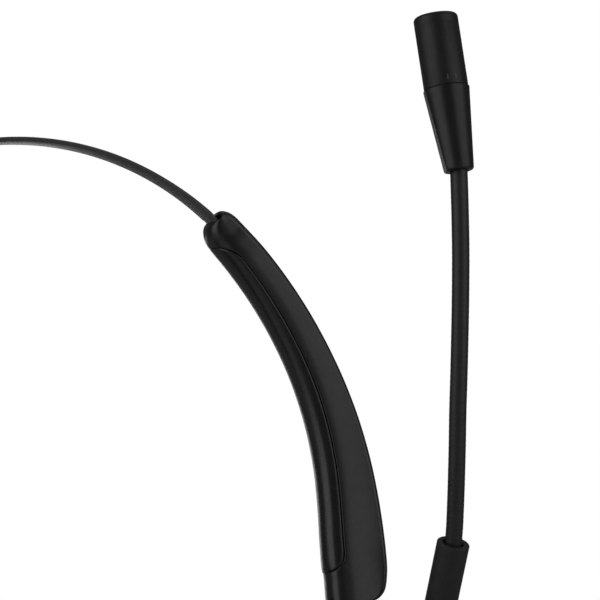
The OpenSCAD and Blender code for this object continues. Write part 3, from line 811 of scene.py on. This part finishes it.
def gland():
    prof = fillet([(14.6, 1.5), (14.6, 2.4), (26.6, 2.4), (26.6, 3.0), (28.6, 3.0), (28.6, 1.5)],
                  [0, 0, 0, 0.25, 0.6, 0.35], 5)
    b = Build()
    b.lathe(prof, (62.6, 0, 0), (0, 0, -1), n=56)
    return b


def cloth_disc():
    """Acoustic cloth stretched over its ring: slightly crowned, edge turned down."""
    r = np.array([0.01, 1.5, 3, 5, 7, 9, 10.5, 11.8, 12.7, 13.2, 13.45, 13.5])
    x = 56.84 - 0.0 * r + np.array([0, 0, 0, 0, .01, .02, .03, .05, .08, .12, .19, .28])
    prof = list(zip(x, r)) + [(57.17, 13.45), (57.17, 0.01)]
    b = Build()
    b.lathe(prof, (0, 0, 0), (1, 0, 0), n=96, loop=False)
    return b


SEAM_OUT, SEAM_IN = (26.35, 54.6), (12.15, 54.2)      # (radius, x) of the sewn lines


def cushion_profile(shrink):
    """(x, r) loop of the ring cushion: crowned front, sides pulled in at the sewn lines, flat back."""
    pts = []
    m, h = 19.25, 7.55 - shrink
    for a in np.linspace(0, PI, 33):
        c, s = math.cos(a), math.sin(a)
        pts.append((54.2 - (9.9 - shrink) * abs(s) ** 0.72, m + h * math.copysign(abs(c) ** 0.8, c)))
    pts += [(55.0, 12.1), (56.3, 12.5), (56.7, 13.2), (56.75, 13.75), (57.14, 14.1), (57.14, 25.2), (56.7, 25.9), (55.0, 26.35)]
    return pts


def cushion_mesh(name):
    """Foam ring in a sewn skin: a pressure cloth simulation between pinned seams, then gathers along them."""
    prof = np.array(cushion_profile(0.45))
    d = np.concatenate([[0], np.cumsum(np.linalg.norm(np.diff(np.vstack([prof, prof[:1]]), axis=0), axis=1))])
    q = np.linspace(0, d[-1], 65)[:-1]
    cl = np.vstack([prof, prof[:1]])
    prof = np.stack([np.interp(q, d, cl[:, 0]), np.interp(q, d, cl[:, 1])], 1)
    b = Build()
    b.lathe(prof, (0, 0, 0), (1, 0, 0), n=200)
    me = b.mesh(name, sharp=180)
    scale = 10.0
    co = np.zeros(len(me.vertices) * 3)
    me.vertices.foreach_get("co", co)
    co = co.reshape(-1, 3)
    ob = bpy.data.objects.new("tmp_pad", me)
    scene.collection.objects.link(ob)
    me.vertices.foreach_set("co", (co * scale).ravel())
    me.update()
    rm = ob.modifiers.new("remesh", "REMESH")
    rm.mode, rm.voxel_size = "VOXEL", 0.0095
    dg = bpy.context.evaluated_depsgraph_get()
    rem = bpy.data.meshes.new_from_object(ob.evaluated_get(dg), preserve_all_data_layers=False, depsgraph=dg)
    bpy.data.objects.remove(ob)
    ob = bpy.data.objects.new("tmp_pad", rem)
    scene.collection.objects.link(ob)
    p = np.zeros(len(rem.vertices) * 3)
    rem.vertices.foreach_get("co", p)
    p = p.reshape(-1, 3)
    rad, x = np.hypot(p[:, 1], p[:, 2]) / scale / MM, p[:, 0] / scale / MM
    dist = np.minimum(np.hypot(rad - SEAM_OUT[0], x - SEAM_OUT[1]), np.hypot(rad - SEAM_IN[0], x - SEAM_IN[1]))
    pin = ob.vertex_groups.new(name="pin")
    hold = np.where(x > 55.6, 1.0, np.clip(1.0 - (dist - 0.7) / 0.9, 0.0, 1.0))
    for i in np.nonzero(hold > 0)[0]:
        pin.add([int(i)], float(hold[i]), "REPLACE")
    cl = ob.modifiers.new("cloth", "CLOTH")
    st = cl.settings
    st.quality = 6
    st.mass = 0.3
    st.tension_stiffness = st.compression_stiffness = 12.0
    st.shear_stiffness = 6.0
    st.bending_stiffness = 0.4
    st.use_pressure = True
    st.uniform_pressure_force = 4.0
    st.vertex_group_mass = "pin"
    st.effector_weights.gravity = 0.0
    cl.collision_settings.use_collision = False
    cl.point_cache.frame_start, cl.point_cache.frame_end = 1, 20
    for f in range(1, 21):
        scene.frame_set(f)
    dg = bpy.context.evaluated_depsgraph_get()
    sim = bpy.data.meshes.new_from_object(ob.evaluated_get(dg), preserve_all_data_layers=False, depsgraph=dg)
    s = np.zeros(len(sim.vertices) * 3)
    sim.vertices.foreach_get("co", s)
    s = s.reshape(-1, 3)
    mv = s - p
    ln = np.linalg.norm(mv, axis=1)
    cap = 0.55 * MM * scale
    mv *= np.where(ln > cap, cap / np.maximum(ln, 1e-9), 1.0)[:, None]
    co = (p + mv) / scale
    bpy.data.objects.remove(ob)
    scene.frame_set(1)
    me = sim
    # gathers where the skin is drawn into the seams, and soft unevenness of the foam
    rad, ang, x = np.hypot(co[:, 1], co[:, 2]) / MM, np.arctan2(co[:, 2], co[:, 1]), co[:, 0] / MM
    nx, nr = x - 50.5, rad - 19.25
    ln = np.maximum(np.hypot(nx, nr), 1e-6)
    nx, nr = nx / ln, nr / ln
    h = np.zeros(len(rad))
    for (sr, sx), k, ph in ((SEAM_OUT, 96, 0.4), (SEAM_IN, 58, 1.3)):
        dd = np.hypot(rad - sr, x - sx)
        wob = np.cos(k * ang + ph + 1.7 * np.sin(5 * ang + ph) + 0.9 * np.sin(11 * ang))
        h += 0.13 * wob * np.exp(-((dd - 1.3) / 1.5) ** 2) - 0.28 * np.exp(-(dd / 0.75) ** 2)
    h += 0.10 * np.sin(3 * ang + 0.6) * np.sin(2.2 * np.arctan2(nx, nr)) + 0.06 * np.sin(7 * ang + 2.0 + 0.25 * rad)
    h *= np.clip((56.0 - x) / 1.2, 0, 1)
    rad2, x2 = rad + nr * h, np.clip(x + nx * h, 43.6, np.where(rad < 13.9, 56.76, 57.15))
    rad2 = np.clip(rad2, 11.3, 27.15)
    co = np.stack([x2, rad2 * np.cos(ang), rad2 * np.sin(ang)], 1) * MM
    me.vertices.foreach_set("co", co.ravel())
    me.update()
    me.name = name
    me.shade_smooth()
    return me


def stitches():
    """Thread along the outer seam: short raised stitches that dip into the skin."""
    b = Build()
    n = 84
    for i in range(n):
        a = 2 * PI * i / n
        c = np.array([SEAM_OUT[1] + 0.02, 26.3 * math.cos(a), 26.3 * math.sin(a)])
        t = np.array([0, -math.sin(a), math.cos(a)])
        rd = np.array([0, math.cos(a), math.sin(a)])
        prof = [(-0.72, 0.02), (-0.6, 0.16), (-0.3, 0.21), (0, 0.22), (0.3, 0.21), (0.6, 0.16), (0.72, 0.02)]
        k = b.lathe(prof, c, unit(t + 0.12 * np.array([1, 0, 0])), side=rd, n=8, loop=False)
        b.cap(k[0])
        b.cap(k[-1][::-1])
    return b


def piping():
    """Welt between skin and cup: a thin rolled cord round the back edge."""
    b = Build()
    a = np.linspace(0, 2 * PI, 241)[:-1]
    ring = []
    for t in a:
        rr = 0.5 + 0.02 * math.sin(31 * t)
        rad = 25.95 + 0.03 * math.sin(9 * t)
        u = np.linspace(0, 2 * PI, 13)[:-1]
        x, r = 56.58 + rr * np.cos(u), rad + rr * np.sin(u)
        ring.append(np.stack([x, r * math.cos(t), r * math.sin(t)], 1))
    b.grid(np.array(ring), wrap_u=True)
    return b


def flip_mesh(me, name):
    m2 = me.copy()
    m2.name = name
    m2.transform(Matrix.Scale(-1, 4, Vector((1, 0, 0))))
    m2.flip_normals()
    return m2


cup = cup_shell()
gl = gland()
disc = cloth_disc()
pad_right = cushion_mesh("ear_cushion_right.v")
pad_left = flip_mesh(pad_right, "ear_cushion_left.v")
sts, pip = stitches(), piping()
for side in ("right", "left"):
    body = "cup_" + side
    mir = (lambda x: x) if side == "right" else (lambda x: x.mirrored())
    piece("cup_shell_%s.v" % side, mir(cup).mesh("cup_shell_%s.v" % side), "cup_plastic", body,
          ["cup_shell_" + side])
    piece("cable_gland_%s.v" % side, mir(gl).mesh("gland"), "gland_rubber", body, ["cable_gland_" + side])
    piece("speaker_cloth_%s.v" % side, mir(disc).mesh("cloth"), "speaker_cloth", body,
          ["speaker_cloth_" + side])
    pad = piece("ear_cushion_%s.v" % side, pad_right if side == "right" else pad_left, "leatherette", body,
                ["ear_cushion_" + side])
    sub = pad.modifiers.new("subdivision", "SUBSURF")
    sub.levels = sub.render_levels = 1
    piece("cushion_welt_%s.v" % side, mir(pip).mesh("welt"), "leatherette", body)
    piece("cushion_stitches_%s.v" % side, mir(sts).mesh("stitches"), "thread", body)


# --------------------------------------------------------------------- hub
b = Build()
b.lathe(fillet([(84.2, 0.001), (84.2, 13), (86.6, 13), (88, 9.5), (88.0, 0.001)], [0, 0.35, 1.6, 6.0, 0], 8, False),
        (0, 0, 0), (-1, 0, 0), n=112, loop=False)
b.lathe(fillet([(78.8, 0.001), (78.8, 5), (84.4, 5), (84.4, 0.001)], [0, 0.3, 0, 0], 4, False), (0, 0, 0), (-1, 0, 0),
        n=64, loop=False)
piece("pivot_cap_left.v", b.mesh("pivot_cap_left.v"), "hub_plastic", "arm_left", ["pivot_cap_left"])

HUB = np.array([88.4, 0.0, 0.0])
LEAN, SPLAY = math.radians(24.5), math.radians(5.7)
ROOT = np.array([math.sin(SPLAY), -math.sin(LEAN) * math.cos(SPLAY), math.cos(LEAN) * math.cos(SPLAY)])

b = Build()
b.lathe(fillet([(76.8, 3.2), (76.8, 5), (84.3, 5), (84.3, 13), (85.3, 13), (85.5, 12.75), (85.9, 12.75), (86.1, 13),
                (93.8, 13), (93.8, 10.55), (92.4, 10.5), (86.2, 10.5), (86.2, 3.2)],
               [0.2, 0.3, 0.2, 0.4, 0.1, 0.08, 0.08, 0.1, 1.4, 0.25, 0, 0, 0], 6), (0, 0, 0), (1, 0, 0), n=128)
b.lathe(fillet([(10.6, 3.65), (10.6, 4.3), (19.0, 4.3), (19.0, 3.65)], [0, 0, 0.55, 0.2], 5), HUB, ROOT, n=72)
piece("boom_hub.v", b.mesh("boom_hub.v"), "hub_plastic", "boom_base", ["boom_hub"])

b = Build()
b.lathe(fillet([(92.6, 0.001), (92.6, 10.4), (93.95, 10.4), (94.5, 9.4), (94.8, 6.0), (94.8, 0.001)],
               [0, 0.2, 0.35, 2.0, 8.0, 0], 6, False), (0, 0, 0), (1, 0, 0), n=112, loop=False)
piece("boom_hub_cap.v", b.mesh("boom_hub_cap.v"), "hub_plastic", "boom_base", ["boom_hub_cap"])

# rubber sleeve with a soft rounded mouth
b = Build()
b.lathe(fillet([(12.05, 1.8), (12.05, 3.55), (30, 3.6), (45.85, 3.62), (45.85, 2.05), (43.2, 2.0), (43.2, 1.8)],
               [0, 0, 0, 0.36, 0.7, 0, 0], 7), HUB, ROOT, n=72)
piece("boom_sleeve.v", b.mesh("boom_sleeve.v"), "boom_rubber", "boom_base", ["boom_sleeve"])


# --------------------------------------------------------------- gooseneck
P0 = HUB + 45.7 * ROOT
NECK_R, NECK_LEAN, NECK_LEN = 165.0, math.radians(20.0), 82.0
NC = np.array([P0[1] + NECK_R * math.cos(NECK_LEAN), P0[2] + NECK_R * math.sin(NECK_LEAN)])


# Sideways drift of the bent gooseneck along its length
DRIFT = [0.0, 0.0, -0.12, -0.46, -0.73, -0.7, -0.62, -0.5, -0.5]


def neck(s):
    """Point and direction of the boom's centre line, s millimetres past the sleeve."""
    t = NECK_LEAN - s / NECK_R
    x = P0[0] + float(pchip([0, 3, 8, 20, 32, 44, 53, 68, 82], DRIFT, [min(max(s, 0.0), 82.0)])[0])
    return (np.array([x, NC[0] - NECK_R * math.cos(t), NC[1] - NECK_R * math.sin(t)]),
            np.array([0.0, -math.sin(t), math.cos(t)]))


def neck_piece(s0, s1):
    """Ribbed jacket: a shallow one-start spiral."""
    b, rings = Build(), []
    a = np.arange(36) * 2 * PI / 36
    for s in np.arange(s0, s1 + 1e-6, 0.1):
        if s < 0:
            # inside the sleeve the boom follows the sleeve's own axis
            p, d = P0 + s * ROOT, ROOT
        else:
            p, d = neck(s)
            blend_in = math.exp(-s / 1.5)
            d = unit(d * (1 - blend_in) + ROOT * blend_in)
        ex = unit(np.cross([0, 1, 0], d)) if abs(d[1]) < 0.9 else np.array([1.0, 0, 0])
        ey = np.cross(d, ex)
        wv = np.cos(2 * PI * s / 1.22 + a)
        r = 1.878 + 0.0006 * max(s, 0) + 0.009 * wv
        rings.append(p + r[:, None] * (np.cos(a)[:, None] * ex + np.sin(a)[:, None] * ey))
    k = b.grid(np.array(rings))
    b.cap(k[0])
    b.cap(k[-1][::-1])
    return b


def m3(p):
    return tuple(float(x) * MM for x in p)


SPLIT = 39.0
ob = piece("gooseneck_near.v", neck_piece(-6.0, SPLIT).mesh("gooseneck_near.v", sharp=60), "gooseneck_jacket", None,
           ["gooseneck_lower", "gooseneck_middle"], ride=False)
m3(neck(6.0)[0])
m3(neck(34.0)[0])
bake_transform(ob)
ob = piece("gooseneck_far.v", neck_piece(SPLIT, NECK_LEN + 3.0).mesh("gooseneck_far.v", sharp=60), "gooseneck_jacket", None,
           ["gooseneck_upper"], ride=False)
m3(neck(44.0)[0])
m3(neck(72.0)[0])
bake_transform(ob)


# -------------------------------------------------------------- microphone
M0 = neck(NECK_LEN)[0]
rot = Matrix.Rotation(math.radians(-7), 3, "X") @ Matrix.Rotation(math.radians(-7), 3, "Y")
EX, EY, EZ = [np.array(rot.col[i]) for i in range(3)]


def mic_collar():
    """Tapered collar: round at the capsule, with a long flat that runs out at the seam."""
    prof = fillet([(2.4, 2.0), (0.0, 2.02), (0.0, 3.36), (18.45, 5.12), (18.45, 4.74), (18.6, 4.74),
                   (18.6, 3.8), (20.5, 3.8), (20.5, 1.98), (2.4, 1.98)], [0, 0.15, 0.55, 0.2, 0, 0, 0, 0.2, 0, 0], 7)
    out = []
    for i in range(len(prof)):
        p, q = prof[i], prof[(i + 1) % len(prof)]
        steps = 24 if abs(q[0] - p[0]) > 10 else 1
        out += [p + (q - p) * f for f in np.arange(steps) / steps]
    prof = np.array(out)
    a = np.arange(120) * 2 * PI / 120
    flat_dir = math.radians(177)
    b, rings = Build(), []
    for z, r in prof:
        x, y = r * np.cos(a), r * np.sin(a)
        if r > 2.8 and z < 18.4:
            limit = 2.95 + (4.93 - 2.95) * max(z, 0) / 18.0
            h = x * math.cos(flat_dir) + y * math.sin(flat_dir)
            over = np.maximum(h - limit, 0)
            x, y = x - over * math.cos(flat_dir), y - over * math.sin(flat_dir)
        rings.append(M0 + x[:, None] * EX + y[:, None] * EY + z * EZ)
    b.grid(np.array(rings), wrap_u=True)
    return b


piece("mic_collar.v", mic_collar().mesh("mic_collar.v", sharp=28), "mic_plastic", "boom_tip", ["mic_collar"])

b = Build()
b.lathe(fillet([(18.61, 3.9), (18.61, 4.9), (32.55, 4.9), (32.55, 3.9)], [0, 0.2, 0.012, 0], 5), M0, EZ, side=EX, n=120)
housing = b.mesh("housing_raw")
b = Build()
for deg in (-6.0, 16.5):
    t = math.radians(deg)
    rd = -math.cos(t) * EY + math.sin(t) * EX
    outl = fillet([(-0.17, -0.65), (0.17, -0.65), (0.17, 0.65), (-0.17, 0.65)], 0.16, 4)
    b.plate(outl, 4.86, 5.4, 0.02, (M0 + 20.15 * EZ, np.cross(EZ, rd), EZ, rd))
vents = b.mesh("vents")
housing.materials.append(M["mic_plastic"])
vents.materials.append(M["vent_glint_paint"])
made = cut(housing, vents, "mic_housing.v")
# the faces left by the cut, the walls and floors of the vent slots, get the light grey painted glint
inside = [i for i, f in enumerate(made.polygons) if f.material_index > 0]
ob = piece("mic_housing.v", made, "capsule_plastic", "boom_tip", ["mic_housing"])
made.materials.append(M["vent_glint_paint"])
for f in made.polygons:
    f.material_index = 0
for i in inside:
    made.polygons[i].material_index = 1

b = Build()
b.lathe(fillet([(31.0, 3.0), (31.0, 3.85), (32.56, 3.85), (32.56, 4.9), (35.0, 4.9), (35.0, 0.001), (34.0, 0.001), (34.0, 3.0)],
               [0, 0, 0, 0.012, 1.0, 0, 0, 0], 8), M0, EZ, side=EX, n=120)
top = b.mesh("end_raw")
b = Build()
for r, n in ((0.0, 1), (2.1, 6)):
    for i in range(n):
        t = 2 * PI * i / n
        b.lathe([(33.2, 0.001), (33.2, 0.45), (36.0, 0.45), (36.0, 0.001)], M0 + r * (math.cos(t) * EX + math.sin(t) * EY), EZ,
                side=EX, n=24, loop=False)
piece("mic_end_cap.v", cut(top, b.mesh("holes"), "mic_end_cap.v"), "capsule_plastic", "boom_tip", ["mic_end_cap"])


# ---------------------------------------------- CAD nodes that stay, repainted
KEEP = {"stop_rivets": "bright_steel", "boom_friction_washer": "spring_steel", "boom_retaining_ring": "spring_steel",
        "mic_element": "bright_steel", "mic_boot": "boom_rubber"}
for side in ("right", "left"):
    KEEP.update({"slider_spring_" + side: "spring_steel",
                 "cup_baffle_" + side: "baffle_plastic", "cup_screws_" + side: "screw_steel",
                 "driver_frame_" + side: "driver_plastic", "driver_magnet_" + side: "magnet_steel",
                 "driver_diaphragm_" + side: "diaphragm_film"})
for name, mat in KEEP.items():
    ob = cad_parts[name]
    ob.data.materials.clear()
    ob.data.materials.append(M[mat])


# --------------------------------------------------------- floor and light
def floor_material():
    m = Mat("floor_pale")
    m.put(Roughness=0.22, Specular_IOR_Level=0.5)
    m.link(m.ramp(m.noise(9.0, 4.0), [(0.3, grey(0.58)), (0.7, grey(0.63))]), "Base Color")
    m.link(m.bump(m.noise(800.0, 2.0), 0.05, 0.0001), "Normal")
    nt = m.m.node_tree                            # a lit paper floor: it looks pale without lighting the object from below
    out = [n for n in nt.nodes if n.type == "OUTPUT_MATERIAL"][0]
    body = out.inputs["Surface"].links[0].from_socket
    glow, both, path, geo, far, fade, seen, under, clear = (nt.nodes.new("ShaderNode" + t) for t in (
        "Emission", "MixShader", "LightPath", "NewGeometry", "VectorMath", "MapRange", "Math", "MixShader", "BsdfTransparent"))
    far.operation, seen.operation = "LENGTH", "MULTIPLY"
    for k, v in (("From Min", 0.5), ("From Max", 2.6), ("To Min", 0.76), ("To Max", 1.15)):
        fade.inputs[k].default_value = v
    nt.links.new(geo.outputs["Position"], far.inputs[0])
    nt.links.new(far.outputs["Value"], fade.inputs["Value"])
    nt.links.new(fade.outputs["Result"], glow.inputs["Strength"])
    nt.links.new(path.outputs["Is Camera Ray"], seen.inputs[0])
    seen.inputs[1].default_value = 0.94
    nt.links.new(seen.outputs[0], both.inputs[0])
    nt.links.new(body, both.inputs[1])
    nt.links.new(glow.outputs[0], both.inputs[2])
    nt.links.new(geo.outputs["Backfacing"], under.inputs[0])      # open from below
    nt.links.new(both.outputs[0], under.inputs[1])
    nt.links.new(clear.outputs[0], under.inputs[2])
    nt.links.new(under.outputs[0], out.inputs["Surface"])
    return m.m


M["floor"] = floor_material()
bm = bmesh.new()
bmesh.ops.create_circle(bm, cap_ends=True, segments=128, radius=3.0)
me = bpy.data.meshes.new("floor")
bm.to_mesh(me)
bm.free()
floor = bpy.data.objects.new("floor", me)
floor.location = (0, 0, -0.168)
me.materials.append(M["floor"])
scene.collection.objects.link(floor)


def softbox(name, azimuth, elevation, dist, w, h, radiance):
    """Area light round the object. Azimuth 0 is in front (-Y), 90 at +X."""
    a, e = math.radians(azimuth), math.radians(elevation)
    d = Vector((math.sin(a) * math.cos(e), -math.cos(a) * math.cos(e), math.sin(e)))
    li = bpy.data.lights.new(name, "AREA")
    li.shape, li.size, li.size_y = "RECTANGLE", w, h
    li.energy = radiance * w * h * PI
    ob = bpy.data.objects.new(name, li)
    ob.location = Vector((0.04, 0, 0.09)) + d * dist
    ob.rotation_mode = "QUATERNION"
    ob.rotation_quaternion = (-d).to_track_quat("-Z", "Y")
    ob.visible_camera = False
    scene.collection.objects.link(ob)
    return ob


softbox("key_left", -70, 14, 1.1, 1.22, 1.5, 0.84)
softbox("key_right", 48, 14, 1.1, 1.12, 1.5, 0.66)
softbox("top", 150, 68, 1.3, 1.4, 1.4, 0.22)
softbox("backdrop", 172, -2.9, 3.05, 3.7, 0.19, 1.3)

world = bpy.data.worlds.new("studio")
scene.world = world
world.use_nodes = True
wt = world.node_tree
wt.nodes.clear()
w_out = wt.nodes.new("ShaderNodeOutputWorld")
w_mix = wt.nodes.new("ShaderNodeMixShader")
w_fill = wt.nodes.new("ShaderNodeBackground")
w_fill.inputs[0].default_value = (0.07, 0.07, 0.07, 1)
w_seen = wt.nodes.new("ShaderNodeBackground")
w_seen.inputs[0].default_value = (1, 1, 1, 1)
w_path = wt.nodes.new("ShaderNodeLightPath")
wt.links.new(w_path.outputs["Is Camera Ray"], w_mix.inputs[0])
wt.links.new(w_fill.outputs[0], w_mix.inputs[1])
wt.links.new(w_seen.outputs[0], w_mix.inputs[2])
wt.links.new(w_mix.outputs[0], w_out.inputs[0])

scene.view_settings.view_transform = "Standard"
scene.view_settings.look = "None"

bpy.context.view_layer.update()
